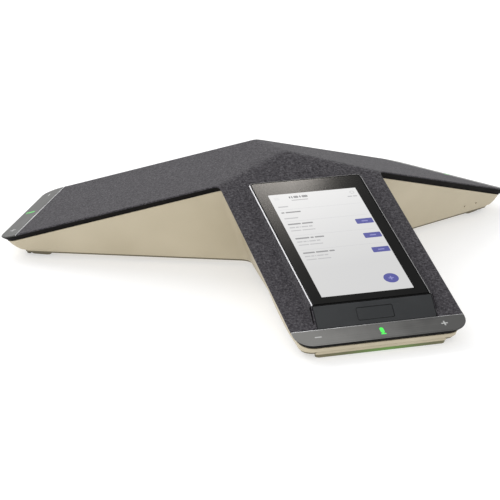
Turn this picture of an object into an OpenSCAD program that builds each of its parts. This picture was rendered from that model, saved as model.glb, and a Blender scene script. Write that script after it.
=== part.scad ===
// Three-arm conference phone: a star-shaped desk phone with a tilted touch screen on its front arm,
// fabric over a perforated shell, touch strips on the three tips, and a speaker under the middle.
// The three arms meet on one vertical axis. In an arm's own frame +X runs outwards along the arm.

/* [Star] */
// Height of the blended apex above the table
body_h = 75.2; // [70:0.2:80]
// How far the ridges and the apex are planed down from the sharp pyramid
ridge_cut = 0.8; // [0.5:0.1:3]
// Fall of each arm's top per mm outwards
arm_slope = 0.32; // [0.3:0.01:0.34]
// Width of an arm at its fabric edge
arm_w = 115.4; // [110:0.2:120]
// Centre axis to the front arm's tip
front_reach = 200.8; // [195:0.2:205]
// Centre axis to each back arm's tip
back_reach = 192.7; // [188:0.2:197]
// Corner radius of the tips, seen from above
tip_r = 12; // [9:0.5:14]
// Radius of the inner corners between the arms
neck_r = 8; // [5:0.5:12]

/* [Skin and frames] */
// Thickness of the fabric
fabric_t = 0.9; // [0.7:0.05:1.2]
// Thickness of the perforated shell under the fabric
grille_t = 2.2; // [1.8:0.1:2.6]
// How far below the top plane the dark band ends
band_drop = 5.4; // [5:0.1:6]
// How far the dark band leans in towards the housing on the sides
band_in = 5.8; // [5:0.1:6.5]
// How far the dark band leans in at the tips
band_tip_in = 4.2; // [3.5:0.1:5]
// Inward lean of the housing's sides, in degrees
side_draft = 19; // [16:0.5:21]
// Wall of the lower housing
wall = 2.2; // [1.8:0.1:2.6]
// Underside of the housing above the table
belly_z = 4; // [3.5:0.1:4.5]

/* [Tips] */
// Length of a touch strip along its arm
strip_len = 13.6; // [12:0.2:16]
// Thickness of a touch strip
strip_t = 2; // [1.6:0.1:2.4]
// Centre of the minus and plus marks from the middle of the strip
mark_y = 42; // [38:0.5:44]
// Middle of each foot, measured back from the tip
foot_back = 27.5; // [25:0.5:30]
// Length of a foot along its arm
foot_len = 16; // [12:0.5:18]
// Width of a foot across its arm
foot_w = 86; // [70:1:88]

/* [Screen] */
// Width of the screen module
module_w = 80; // [78:0.5:82]
// Length of the screen module along its slope
module_len = 139.4; // [137:0.2:142]
// Depth of the screen module
module_t = 10.5; // [9.5:0.1:11]
// Fall of the screen per mm outwards
screen_slope = 0.3; // [0.29:0.005:0.31]
// Centre axis to the screen module's top edge
screen_start = 42.2; // [41:0.2:44]
// Height of the module's top edge above the table
screen_start_z = 67.7; // [67:0.1:68.5]
// Width of the key on the chin
key_w = 24; // [20:0.5:28]
// Height of the key on the chin
key_h = 8.4; // [7:0.2:9]
// Travel of the key on the chin
key_travel = 0.5; // [0.3:0.05:0.6]

/* [Speaker] */
// Outer radius of the speaker's basket
basket_r = 33; // [31:0.5:34]
// Height of the speaker's flange above the table
flange_z = 56.5; // [55:0.5:57]
// Travel of the cone each way
cone_travel = 2; // [1:0.5:3]

/* [Cable bay] */
// Width of the bay between the back arms
bay_w = 74; // [72:0.5:76]
// Centre axis to the bay's connector wall
bay_y = 24; // [23:0.5:25]
// Top of the bay above the table
bay_top = 27; // [26:0.5:27.5]
// Wall of the bay's liner
bay_wall = 2; // [1.6:0.1:2.4]

/* [Hidden] */
$fn = 64;
big = 400;
arm_name = ["front", "right", "left"];
arm_dir = [-90, 30, 150];
reach = [front_reach, back_reach, back_reach];

// The sharp pyramid's height, and the angles of the slopes
apex_z = body_h + ridge_cut;
arm_deg = atan(arm_slope);
ridge_deg = atan(arm_slope / 2);
screen_deg = atan(screen_slope);
half_w = arm_w / 2;
// Half width of the lower housing where it meets the dark band
belly_w = half_w - band_in;
// The model's origin is under the middle of its box, so the arms' axis stands off it in Y
back_y = (back_reach - tip_r) * sin(30) + (half_w - tip_r) * cos(30) + tip_r;
axis_y = (front_reach - back_y) / 2;

gap = 0.05;          // between parts that touch in the real phone
shell_drop = fabric_t + gap;
grille_drop = shell_drop + grille_t;
rim_in = 6.3;        // the perforated shell sits this far inside the fabric edge
ledge_in = 10;       // inner edge of the dark frame
seam_drop = band_drop + gap;
floor_z = belly_z + wall;
arm_root = 20;       // how far each arm of the housing runs back past the axis

function top_z(s) = apex_z - arm_slope * s;
function draft_half(w, drop) = w - (drop - band_drop) * tan(side_draft);

fabric_c = "#4a494c";
black_c = "#1e1c1e";
sand_c = "#c4b9a1";
strip_c = "#7c7c7a";
panel_c = "#46484a";
board_c = "#1f5d3a";
steel_c = "#b9bcc0";
rubber_c = "#2b2a28";

// ---------- frames and shared shapes ----------

module at_axis() translate([0, axis_y, 0]) children();
module on_arm(i) at_axis() rotate([0, 0, arm_dir[i]]) children();

// Everything below the arms' top surface, lowered by drop
module roof(drop) {
    at_axis() intersection_for(dir = arm_dir) intersection() {
        rotate([0, 0, dir]) translate([0, 0, apex_z - drop]) rotate([0, arm_deg, 0])
            translate([-big, -big, -big]) cube([2 * big, 2 * big, big]);
        rotate([0, 0, dir + 60]) translate([0, 0, body_h - drop]) rotate([0, ridge_deg, 0])
            translate([-big, -big, -big]) cube([2 * big, 2 * big, big]);
    }
}

// One arm's outline from the centre to its rounded tip
module arm_outline(length, half, r) {
    translate([0, -half]) square([length - r, 2 * half]);
    translate([0, r - half]) square([length, 2 * (half - r)]);
    for (y = [r - half, half - r]) translate([length - r, y]) circle(r);
}

// Fills the inner corner between two arms with a round of radius r, towards +X
module neck_round(half, r) {
    corner = half / sin(60);
    run = r / tan(60) - 0.2;
    mid = corner + r / sin(60);
    // Just inside the arm's side, so the round joins it without a feather edge
    side = [corner + run * cos(60) - 0.5 * sin(60), run * sin(60) + 0.5 * cos(60)];
    difference() {
        polygon([[corner - 6, 0], side, [mid, 0], [side[0], -side[1]]]);
        translate([mid, 0]) circle(r + 0.02);
    }
}

// An upright block with the star's outline, inset from the fabric edge
module star_block(inset) at_axis() for (i = [0:2]) rotate([0, 0, arm_dir[i]]) {
    linear_extrude(2 * body_h) arm_outline(reach[i] - inset, half_w - inset, max(tip_r - inset, 2));
    rotate([0, 0, 60]) linear_extrude(2 * body_h) neck_round(half_w - inset, neck_r + inset);
}

// An arm with leaning sides: half width top_half at top_drop and low_half at low_drop
module arm_prism(top_half, top_drop, low_half, low_drop) {
    c = cos(arm_deg);
    translate([0, 0, apex_z]) rotate([0, arm_deg, 0]) rotate([90, 0, 90]) linear_extrude(230)
        polygon([[-top_half, -top_drop * c], [top_half, -top_drop * c],
            [low_half, -low_drop * c], [-low_half, -low_drop * c]]);
}

// A vertical profile in an arm's X-Z plane, drawn across the arm
module across(width) rotate([90, 0, 0]) linear_extrude(width, center = true) children();

// ---------- outer shells ----------

// The lower housing as a solid, shrunk by t all round
module belly(t, top_drop) {
    side = t / cos(side_draft);
    deepest = apex_z - belly_z + 8;
    top_half = draft_half(belly_w, top_drop) - side;
    low_half = draft_half(belly_w, deepest) - side;
    intersection() {
        union() for (i = [0:2]) on_arm(i) intersection() {
            arm_prism(top_half, top_drop, low_half, deepest);
            across(2 * arm_w) tip_profile(i, t);
            translate([-arm_root, 0, 0]) linear_extrude(2 * body_h)
                arm_outline(reach[i] - band_tip_in - t + arm_root, belly_w - t, 9 - t);
        }
        translate([-big, -big, belly_z + t]) cube([2 * big, 2 * big, big]);
    }
}

// Side view of an arm's housing: upright at the front tip, swept under at the back tips
module tip_profile(i, t) {
    end = reach[i] - band_tip_in - t;
    z_end = top_z(end) - band_drop;
    sweep = 9.5;
    if (i == 0)
        polygon([[-40, 0], [end - 1.4, 0], [end - 1.4, belly_z + t + 0.6], [end, z_end],
            [end, 2 * body_h], [-40, 2 * body_h]]);
    else
        polygon(concat([[-40, 0], [end - 14, 0]],
            [for (k = [0:6]) [end - 14 + sweep * sin(k * 7.5), belly_z + t + sweep * (1 - cos(k * 7.5))]],
            [[end, z_end], [end, 2 * body_h], [-40, 2 * body_h]]));
}

standoffs = [[-26, -90], [26, -90], [-31, -3], [31, -3]];
module at_standoffs() at_axis() for (p = standoffs) translate([p[0], p[1], 0]) children();

module bottom_housing() {
    color(sand_c) difference() {
        union() {
            difference() {
                intersection() {
                    belly(0, seam_drop - 1);
                    roof(seam_drop);
                }
                belly(wall, seam_drop - 2);
            }
            at_standoffs() translate([0, 0, floor_z - 0.5]) cylinder(r = 3, h = board_z - floor_z + 0.5);
        }
        at_standoffs() translate([0, 0, belly_z + 1]) cylinder(r = 1.15, h = 10, $fn = 24);
        at_axis() bay_cut();
        for (i = [0:2]) on_arm(i) {
            at_case_screws(i) cylinder(r = 1.7, h = 20, $fn = 24);
            translate([bar_s(i), 0, 0]) bar_shape(0.15, 0, 12);
            for (s = mic_ports) at_mic(i, s) cylinder(r = 0.7, h = 12, center = true, $fn = 24);
        }
        rating_place() translate([0, 0, -1]) cube([44.4, 24.4, 3.2], center = true);
    }
}

// The dark frame: a leaning band round the edge, a rebate for the shell, and ribs with screw posts
module mid_frame() {
    color(black_c) {
        difference() {
            intersection() {
                union() for (i = [0:2]) on_arm(i) intersection() {
                    arm_prism(half_w, 0, belly_w + 0.1, band_drop);
                    across(2 * arm_w) band_profile(i);
                }
                star_block(0.3);
                roof(shell_drop);
            }
            difference() {
                star_block(rim_in);
                roof(grille_drop + gap);
            }
            star_block(ledge_in);
            for (i = [0:2]) on_arm(i) strip_pocket(i);
        }
        for (i = [0:2]) frame_rib(i);
    }
}

module band_profile(i) {
    end = reach[i];
    z_end = top_z(end) - shell_drop;
    low = end - band_tip_in;
    z_low = top_z(low) - band_drop;
    polygon([[-40, -20], [low - 20, z_low - 20 * (z_end - z_low) / band_tip_in], [low, z_low],
        [end - 0.2, z_end], [end - 0.2, body_h * 2], [-40, body_h * 2]]);
}

// Room for a touch strip and its board over the tip
module strip_pocket(i) {
    depth = strip_t + gap;
    translate([reach[i] - strip_len - 0.3, -half_w, 0]) intersection() {
        cube([60, arm_w, 2 * body_h]);
        translate([-reach[i] + strip_len + 0.3, half_w, apex_z - depth]) rotate([0, arm_deg, 0])
            translate([0, -big, 0]) cube([big, 2 * big, big]);
    }
}

// A cross rib over each foot, with the two posts that the case screws run up into
rib_len = 8;
rib_t = 2.5;
module frame_rib(i) {
    rib_z = top_z(foot_s(i) + rib_len / 2) - grille_drop - 2 * gap - rib_t;
    rib_half = half_w - ledge_in + 0.4;
    on_arm(i) difference() {
        union() {
            translate([foot_s(i) - rib_len / 2, -rib_half, rib_z]) cube([rib_len, 2 * rib_half, rib_t]);
            at_case_screws(i) translate([0, 0, floor_z + gap]) cylinder(r = 3.2, h = rib_z - floor_z + 1);
        }
        at_case_screws(i) cylinder(r = 1.3, h = floor_z + 5.5, $fn = 24);
    }
}

function foot_s(i) = reach[i] - foot_back;
module at_case_screws(i) for (y = [-22, 22]) translate([foot_s(i), y, 0]) children();

// The parts of the top that the screen, the chin and the strips take up
module top_cutouts(clear) {
    on_arm(0) across(module_w + 2 * clear) polygon([
        [screen_start - clear - (module_t + clear) * sin(screen_deg),
            screen_start_z - (module_t + clear) * cos(screen_deg)],
        [screen_start + 20, 0], [front_reach + 5, 0], [front_reach + 5, 2 * body_h],
        [screen_start - clear + 40 * sin(screen_deg), screen_start_z + 40 * cos(screen_deg)]]);
    for (i = [0:2]) on_arm(i) translate([reach[i] - strip_len - clear, -half_w - 1, 0])
        cube([strip_len + 10, arm_w + 2, 2 * body_h]);
}

hole_pitch = 5.2;
module grille_frame() {
    color(black_c) difference() {
        intersection() {
            star_block(rim_in + 0.2);
            roof(shell_drop);
        }
        difference() {
            roof(grille_drop);
            at_axis() difference() {
                translate([0, 0, gasket_top]) cylinder(r = basket_r + 1, h = 20);
                translate([0, 0, gasket_top - 1]) cylinder(r = basket_r - 3, h = 22);
            }
        }
        at_axis() for (row = [-5:5], col = [-5:5]) {
            x = (col + (abs(row) % 2) / 2) * hole_pitch;
            y = row * hole_pitch * sin(60);
            if (norm([x, y]) < basket_r - 5) translate([x, y, 50]) cylinder(r = 1.4, h = 40, $fn = 16);
        }
        top_cutouts(0.6);
    }
}

module fabric_skin() {
    color(fabric_c) difference() {
        intersection() {
            star_block(0);
            roof(0);
        }
        roof(fabric_t);
        top_cutouts(0.3);
    }
}

// ---------- the three tips ----------

// The tip's outline beyond the strip's inner edge, at the slope of the arm's top
module tip_slab(i, inset, from_drop, to_drop, length) {
    intersection() {
        on_arm(i) linear_extrude(2 * body_h) intersection() {
            arm_outline(reach[i] - inset, half_w - inset, tip_r - inset);
            translate([reach[i] - length, -big]) square(2 * big);
        }
        difference() {
            roof(from_drop);
            roof(to_drop);
        }
    }
}

module on_strip(i, y) on_arm(i) translate([reach[i] - strip_len / 2, y, top_z(reach[i] - strip_len / 2)])
    rotate([0, arm_deg, 0]) children();

// Marks that light up through the strip, drawn with +X outwards along the arm
module minus_mark(grow) square([0.9 + grow, 4.4 + grow], center = true);
module plus_mark(grow) {
    minus_mark(grow);
    square([4.4 + grow, 0.9 + grow], center = true);
}
module mute_mark(grow) {
    translate([-1.4, 0]) circle(1.3 + grow / 2);
    square([2.8, 2.6 + grow], center = true);
    translate([1.4, 0]) circle(1.3 + grow / 2);
    translate([2.9, 0]) square([1, 1 + grow], center = true);
    translate([3.6, 0]) square([0.9 + grow, 3.4 + grow], center = true);
}

module touch_strip(i) color(strip_c) difference() {
    tip_slab(i, 0, 0, strip_t, strip_len);
    on_strip(i, 0) linear_extrude(20, center = true) mute_mark(0.1);
    on_strip(i, -mark_y) linear_extrude(20, center = true) minus_mark(0.1);
    on_strip(i, mark_y) linear_extrude(20, center = true) plus_mark(0.1);
}

light_t = strip_t * cos(arm_deg);
module light(i, y) on_strip(i, y) translate([0, 0, -light_t]) linear_extrude(light_t) children();
module mute_light(i) color("#3fe05a") light(i, 0) mute_mark(0);

module volume_lights(i) color("white") {
    light(i, -mark_y) minus_mark(0);
    light(i, mark_y) plus_mark(0);
}

// The touch and light board hangs inside the frame, just behind the strip
module touch_board(i) color(board_c) intersection() {
    on_arm(i) translate([reach[i] - 22, -46, 0]) cube([7.5, 92, 2 * body_h]);
    difference() {
        roof(grille_drop + 2.7);
        roof(grille_drop + 3.7);
    }
}

// Light bar let into the floor in front of each foot
function bar_s(i) = i == 0 ? reach[0] - 9.9 : reach[i] - 17.6;
module bar_shape(grow, z0, z1) translate([0, 0, z0]) linear_extrude(z1 - z0) {
    square([3.2 + 2 * grow, 80], center = true);
    for (y = [-40, 40]) translate([0, y]) circle(1.6 + grow);
}
module light_bar(i) color("#8fae7c") on_arm(i) translate([bar_s(i), 0, 0])
    bar_shape(0, i == 0 ? 0.6 : 3.6, floor_z + (i == 0 ? 0.6 : 1.2));

module foot(i) color(rubber_c) on_arm(i) difference() {
    across(foot_w) polygon([[foot_s(i) - foot_len / 2 + 2, 0], [foot_s(i) + foot_len / 2 - 2, 0],
        [foot_s(i) + foot_len / 2, belly_z - gap], [foot_s(i) - foot_len / 2, belly_z - gap]]);
    at_case_screws(i) translate([0, 0, 1.9]) cylinder(r = 3.1, h = 4);
}

// Each microphone listens through two ports in the arm's side
mic_ports = [-6, 6];
mic_back = 39.4;
mic_z = 10.4;
function mic_half(i) = draft_half(belly_w, top_z(reach[i] - mic_back) - mic_z);
module at_mic(i, along) translate([reach[i] - mic_back + along, -mic_half(i), mic_z])
    rotate([90, 0, 0]) children();

module mic_boot(i) color(rubber_c) on_arm(i) difference() {
    translate([reach[i] - mic_back - 9, -mic_half(i) + wall + 2.2, mic_z - 2.7]) cube([18, 7, 5.4]);
    translate([reach[i] - mic_back, -mic_half(i) + wall + 5.5, mic_z]) rotate([90, 0, 0])
        cylinder(r = 2.1, h = 4, center = true, $fn = 32);
    translate([reach[i] - mic_back, -mic_half(i) + wall + 5.5, mic_z])
        cube([mic_ports[1] - mic_ports[0] + 2, 1, 1], center = true);
    for (s = mic_ports) translate([reach[i] - mic_back + s, -mic_half(i) + wall + 1, mic_z])
        rotate([-90, 0, 0]) cylinder(r = 0.7, h = 5, $fn = 24);
}

module mic_capsule(i) color(steel_c) on_arm(i)
    translate([reach[i] - mic_back, -mic_half(i) + wall + 5.5, mic_z]) rotate([90, 0, 0])
        cylinder(r = 2, h = 3.6, center = true, $fn = 32);

// A flat lead runs along the arm's floor from the tip's board to the main board
module strip_cable(i) {
    start = [94, 33, 33][i];
    finish = reach[i] - 20.5;
    side = [10, -12, 12][i];
    rise = top_z(finish) - grille_drop - 3.9;
    color("#d8d4c8") on_arm(i) {
        translate([start, side - 3, floor_z + 0.2]) cube([finish - start, 6, 0.4]);
        translate([finish - 0.4, side - 3, floor_z + 0.2]) cube([0.4, 6, rise - floor_z - 0.2]);
        translate([start, side - 3, floor_z + 0.2]) cube([0.4, 6, board_z - floor_z - 0.3]);
    }
}

// ---------- screen, chin and key ----------

// Frame with its origin in the middle of the module's top edge, +X down the screen
module on_screen() on_arm(0) translate([screen_start, 0, screen_start_z])
    rotate([0, screen_deg, 0]) children();

module screen_outline(inset, r) translate([inset, inset - module_w / 2])
    round_square(module_len - 2 * inset, module_w - 2 * inset, r);

module round_square(x, y, r) {
    translate([r, 0]) square([x - 2 * r, y]);
    translate([0, r]) square([x, y - 2 * r]);
    for (px = [r, x - r], py = [r, y - r]) translate([px, py]) circle(r);
}

glass_t = 1.1;
lcd_t = 3;
module display_frame() color(black_c) on_screen() difference() {
    translate([0, 0, -module_t]) linear_extrude(module_t) screen_outline(0, 3.2);
    translate([0, 0, -glass_t - gap]) linear_extrude(5) screen_outline(0.9, 2.3);
    translate([0, 0, gap - module_t + 2.4]) linear_extrude(module_t) screen_outline(5.8, 3);
    translate([40, -20, -20]) cube([60, 40, 30]);
}

module cover_glass() color("#101114") on_screen()
    translate([0, 0, -glass_t]) linear_extrude(glass_t) screen_outline(1, 2.2);

module lcd_panel() color("#e6e6ee") on_screen()
    translate([0, 0, -glass_t - gap - lcd_t]) linear_extrude(lcd_t) screen_outline(7, 2);

module display_bracket() color(steel_c) on_screen() difference() {
    translate([12, -34, -module_t - 1.3]) cube([112, 68, 1.2]);
    translate([40, -20, -20]) cube([60, 40, 20]);
    for (x = [18, 118], y = [-28, 28]) translate([x, y, -20]) cylinder(r = 1.6, h = 20, $fn = 24);
}

// Flat lead from the back of the panel down to the main board
module display_cable() color("#c9a34a") at_axis()
    translate([-9, -86.3, board_top + 0.1]) cube([18, 0.3, lcd_back(86) - board_top - 0.6]);
function lcd_back(s) = screen_start_z - screen_slope * (s - screen_start)
    - (glass_t + gap + lcd_t) / cos(screen_deg);

// The chin ramps down from the module's lower edge to the strip
chin_s0 = screen_start + module_len * cos(screen_deg) + 0.3;
chin_z0 = screen_start_z - module_len * sin(screen_deg) - 0.3;
chin_s1 = front_reach - strip_len - 0.3;
chin_z1 = top_z(chin_s1) + 0.1;
chin_deg = atan2(chin_z0 - chin_z1, chin_s1 - chin_s0);
chin_t = 2;
key_along = 8.2;
key_gap = 0.18;
module on_chin() on_arm(0) translate([chin_s0, 0, chin_z0]) rotate([0, chin_deg, 0]) children();

module chin_panel() color(panel_c) difference() {
    on_arm(0) difference() {
        across(module_w - 1.4) polygon([[chin_s0, chin_z0], [chin_s1, chin_z1], [chin_s1, chin_z1 - 3],
            [chin_s0, chin_z1 + 1]]);
        across(module_w - 5) polygon([[chin_s0 - 1, chin_z0 - 1.8], [chin_s0 + 1.2, chin_z0 - 4],
            [chin_s1 - 3.2, chin_z1 + 0.4], [chin_s1 - 3.2, chin_z1 - 5], [chin_s0 - 1, chin_z1 - 5]]);
    }
    on_chin() translate([key_along, 0, 0])
        cube([key_h + 2 * key_gap, key_w + 2 * key_gap, 8], center = true);
}

module home_key() color(panel_c) on_chin() translate([key_along, 0, 0]) {
    translate([-key_h / 2, -key_w / 2, -1.6]) cube([key_h, key_w, 1.5]);
    translate([0, 0, -3.2]) cylinder(r = 1.5, h = 2.2, $fn = 32);
}

module home_switch() color(board_c) on_chin() translate([key_along, 0, 0]) {
    translate([-2.6, -8, -6.3]) cube([5.2, 16, 0.8]);
    translate([-2.2, -2.2, -5.5]) cube([4.4, 4.4, 1.1]);
    translate([0, 0, -4.5]) cylinder(r = 1.1, h = 1.3 - key_travel - 0.1, $fn = 32);
}

// ---------- speaker ----------

gasket_top = 61;
cone_r = 24;
coil_r = 9;
magnet_top = flange_z - 15.5;

module on_speaker() at_axis() translate([0, 0, flange_z]) children();
module speaker_holes() for (a = [45:90:315]) rotate([0, 0, a]) translate([basket_r - 1.6, 0, 0]) children();

module speaker_basket() color("#3a3c3f") on_speaker() difference() {
    rotate_extrude() polygon([[cone_r + 5.2, 0], [basket_r, 0], [basket_r, 2], [cone_r + 5, 2],
        [cone_r + 5, 1], [cone_r + 3.4, 1], [15.5, -14.2], [12.2, -14.2], [12.2, -15.5], [16.4, -15.5]]);
    speaker_holes() cylinder(r = 1.2, h = 8, center = true, $fn = 24);
    for (a = [0:60:300]) rotate([0, 0, a]) translate([21, 0, -7]) rotate([0, 42, 0])
        cylinder(r = 4, h = 12, center = true);
}

// Ring magnet between steel plates, with the pole in its middle
module speaker_magnet() color("#55575b") at_axis() translate([0, 0, magnet_top - 0.05]) rotate_extrude()
    polygon([[0, 0], [coil_r - 0.6, 0], [coil_r - 0.6, -9], [coil_r + 0.7, -9], [coil_r + 0.7, 0],
        [18.5, 0], [18.5, -2.4], [20.5, -2.4], [20.5, -9], [18.5, -9], [18.5, -12], [0, -12]]);

module speaker_cone() color("#26272a") on_speaker() rotate_extrude()
    polygon([[coil_r + 0.2, -10.6], [cone_r, -0.4], [cone_r, 0.2], [coil_r + 0.2, -10], [4.5, -7.9],
        [0, -7.3], [0, -7.8], [4.5, -8.4]]);

module voice_coil() color("#b0703a") on_speaker() translate([0, 0, -20.5]) difference() {
    cylinder(r = coil_r + 0.2, h = 9.8);
    translate([0, 0, -1]) cylinder(r = coil_r - 0.2, h = 12);
}

module speaker_surround() color(rubber_c) on_speaker() rotate_extrude() difference() {
    translate([(cone_r + 0.3 + cone_r + 4.9) / 2, 1.1]) circle(2.3, $fn = 48);
    translate([(cone_r + 0.3 + cone_r + 4.9) / 2, 1.1]) circle(1.9, $fn = 48);
    translate([0, -9]) square([60, 10.1]);
}

module speaker_gasket() color("#4b4b4d") at_axis() translate([0, 0, flange_z + 2.05]) difference() {
    cylinder(r = basket_r - 0.5, h = gasket_top - flange_z - 2.1);
    translate([0, 0, -1]) cylinder(r = basket_r - 4.1, h = 10);
    speaker_holes() cylinder(r = 1.9, h = 10);
}

module speaker_enclosure() color("#2c2d30") at_axis() difference() {
    translate([0, 0, 27.4]) cylinder(r = basket_r + 1, h = flange_z - 27.45);
    translate([0, 0, 28.9]) difference() {
        cylinder(r = basket_r - 1, h = 40);
        speaker_holes() cylinder(r = 2.1, h = 40);
    }
    translate([0, 0, flange_z - 7]) speaker_holes() cylinder(r = 0.95, h = 9, $fn = 24);
}

module screw(r, length, head_r, head_h) {
    translate([0, 0, -length]) cylinder(r = r, h = length + 0.2, $fn = 24);
    difference() {
        cylinder(r = head_r, h = head_h, $fn = 32);
        for (a = [0, 90]) rotate([0, 0, a]) translate([0, 0, head_h])
            cube([1.6 * head_r, 0.5, 1], center = true);
    }
}

module speaker_screws() color(steel_c) at_axis() translate([0, 0, flange_z + 2.05]) speaker_holes()
    screw(0.9, 8, 1.7, 1.2);

// ---------- electronics ----------

board_z = 9;
board_top = board_z + 1.6;
module main_board() color(board_c) difference() {
    at_axis() translate([0, 0, board_z]) linear_extrude(1.6) {
        translate([-36, -8]) square([72, bay_y - 1 + 8]);
        translate([-30, -100]) square([60, 100]);
    }
    at_standoffs() cylinder(r = 1.5, h = 20, $fn = 24);
}

module board_screws() color(steel_c) at_standoffs() translate([0, 0, board_top + 0.02])
    screw(1.1, 5, 2.2, 1.4);

module shield_can() color(steel_c) at_axis() translate([-17, -66, board_top + 0.02]) difference() {
    cube([34, 40, 3.2]);
    translate([0.3, 0.3, -1]) cube([33.4, 39.4, 3.9]);
}

// Two small aerial boards stand on the floors of the back arms
module antennas() color(board_c) for (i = [1, 2]) on_arm(i)
    translate([110, i == 1 ? 0 : -30, floor_z + 0.1]) cube([1, 30, 11]);

// ---------- cable bay ----------

module bay_cut() translate([-bay_w / 2 - 0.1, bay_y - 0.1, -1]) cube([bay_w + 0.2, 60, bay_top + 1.1]);

jack_base = board_top + 0.02;
// Each connector: middle in X, width, height and depth
lan_box = [-26, 16, 13.4, 21];
usb_box = [-7.5, 13.2, 5.8, 14];
micro_box = [6, 7.6, 2.8, 6];
mic_box = [[16.5, 9.8, 9.4, 12], [29.5, 9.8, 9.4, 12]];

module jack_body(b, grow) translate([b[0] - b[1] / 2, bay_y + bay_wall + 0.1 - b[3], jack_base])
    translate([-grow, 0, -grow]) cube([b[1] + 2 * grow, b[3] + (grow > 0 ? 2 : 0), b[2] + 2 * grow]);

// A liner with a connector wall, a roof and two sides, cut off flush with the arms' sides
module port_bay() color(black_c) difference() {
    intersection() {
        at_axis() difference() {
            translate([-bay_w / 2, bay_y, belly_z]) cube([bay_w, 60, bay_top - belly_z]);
            translate([-bay_w / 2 + bay_wall, bay_y + bay_wall, 0])
                cube([bay_w - 2 * bay_wall, 60, bay_top - bay_wall]);
        }
        belly(0, seam_drop - 1);
    }
    at_axis() for (b = concat([lan_box, usb_box, micro_box], mic_box)) jack_body(b, 0.2);
    at_axis() lock_slot();
}

module lan_jack() color(steel_c) at_axis() difference() {
    jack_body(lan_box, 0);
    translate([lan_box[0] - 5.9, bay_y + bay_wall - 13, jack_base + 3.2]) cube([11.8, 20, 8]);
    translate([lan_box[0] - 3, bay_y + bay_wall - 13, jack_base + 1.2]) cube([6, 20, 4]);
}

module usb_a_jack() color(steel_c) at_axis() {
    difference() {
        jack_body(usb_box, 0);
        translate([usb_box[0] - 6.2, bay_y + bay_wall - 10, jack_base + 0.4]) cube([12.4, 20, 5]);
    }
    translate([usb_box[0] - 5.5, bay_y + bay_wall - 11, jack_base + 3]) cube([11, 11, 1.8]);
}

module usb_micro_jack() color(steel_c) at_axis() difference() {
    jack_body(micro_box, 0);
    translate([micro_box[0] - 3.4, bay_y + bay_wall - 4.5, jack_base + 0.45]) cube([6.8, 20, 1.9]);
}

module mic_jacks() color("#26272a") at_axis() for (b = mic_box) difference() {
    jack_body(b, 0);
    translate([b[0] - 3.9, bay_y + bay_wall - 10, jack_base + 1.6]) cube([7.8, 20, 6.6]);
}

lock_z = 14;
lock_y = 46;
module lock_slot() translate([bay_w / 2 - 4, lock_y - 3.5, lock_z - 1.5]) cube([8, 7, 3]);
module lock_plate() color(steel_c) at_axis() difference() {
    translate([bay_w / 2 + 0.2, lock_y - 8, lock_z - 5.5]) cube([1.6, 14, 11]);
    lock_slot();
}

// ---------- underside ----------

module case_screws() color(steel_c) for (i = [0:2]) on_arm(i) at_case_screws(i)
    translate([0, 0, belly_z - 0.05]) rotate([180, 0, 0]) screw(1.25, 7, 2.6, 1.8);

module rating_place() on_arm(0) translate([70, 0, belly_z]) children();
module rating_plate() color("#8d8f91") rating_place() translate([0, 0, 0.4])
    cube([44, 24, 0.4], center = true);

bottom_housing();
mid_frame();
grille_frame();
fabric_skin();
touch_strip(0);  // touch_strip_front
touch_strip(1);  // touch_strip_right
touch_strip(2);  // touch_strip_left
mute_light(0);  // mute_light_front
mute_light(1);  // mute_light_right
mute_light(2);  // mute_light_left
volume_lights(0);  // volume_lights_front
volume_lights(1);  // volume_lights_right
volume_lights(2);  // volume_lights_left
touch_board(0);  // touch_board_front
touch_board(1);  // touch_board_right
touch_board(2);  // touch_board_left
light_bar(0);  // light_bar_front
light_bar(1);  // light_bar_right
light_bar(2);  // light_bar_left
foot(0);  // foot_front
foot(1);  // foot_right
foot(2);  // foot_left
mic_capsule(0);  // mic_capsule_front
mic_capsule(1);  // mic_capsule_right
mic_capsule(2);  // mic_capsule_left
mic_boot(0);  // mic_boot_front
mic_boot(1);  // mic_boot_right
mic_boot(2);  // mic_boot_left
strip_cable(0);  // strip_cable_front
strip_cable(1);  // strip_cable_right
strip_cable(2);  // strip_cable_left
display_frame();
cover_glass();
lcd_panel();
display_bracket();
display_cable();
chin_panel();
home_key();
home_switch();
speaker_basket();
speaker_magnet();
speaker_cone();
voice_coil();
speaker_surround();
speaker_gasket();
speaker_enclosure();
speaker_screws();
main_board();
shield_can();
antennas();
board_screws();
port_bay();
lan_jack();
usb_a_jack();
usb_micro_jack();
mic_jacks();
lock_plate();
case_screws();
rating_plate();
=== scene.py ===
"""Looks of a three-arm conference phone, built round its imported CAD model.

Sizes are in millimetres until a mesh is made.
"""
import math

import bmesh
import bpy
import numpy as np
from mathutils import Matrix, Vector


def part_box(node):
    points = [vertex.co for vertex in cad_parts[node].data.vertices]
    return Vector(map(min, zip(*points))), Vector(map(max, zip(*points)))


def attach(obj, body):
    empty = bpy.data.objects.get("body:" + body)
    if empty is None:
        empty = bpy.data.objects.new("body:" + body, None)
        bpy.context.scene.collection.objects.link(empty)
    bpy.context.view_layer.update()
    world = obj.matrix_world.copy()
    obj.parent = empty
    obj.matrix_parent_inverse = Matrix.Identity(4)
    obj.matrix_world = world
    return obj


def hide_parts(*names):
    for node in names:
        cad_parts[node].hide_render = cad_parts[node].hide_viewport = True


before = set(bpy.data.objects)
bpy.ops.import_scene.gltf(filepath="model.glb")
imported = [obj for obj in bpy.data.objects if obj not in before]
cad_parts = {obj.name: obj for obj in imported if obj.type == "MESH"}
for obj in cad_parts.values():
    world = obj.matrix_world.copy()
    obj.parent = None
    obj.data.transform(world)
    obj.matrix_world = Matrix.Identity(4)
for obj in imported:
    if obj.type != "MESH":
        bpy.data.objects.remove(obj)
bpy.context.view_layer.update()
MM = 0.001
SMALL = 1e-6


def box_mm(node):
    """A CAD node's lowest and highest corners in millimetres."""
    return [np.array(corner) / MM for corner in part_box(node)]


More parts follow.
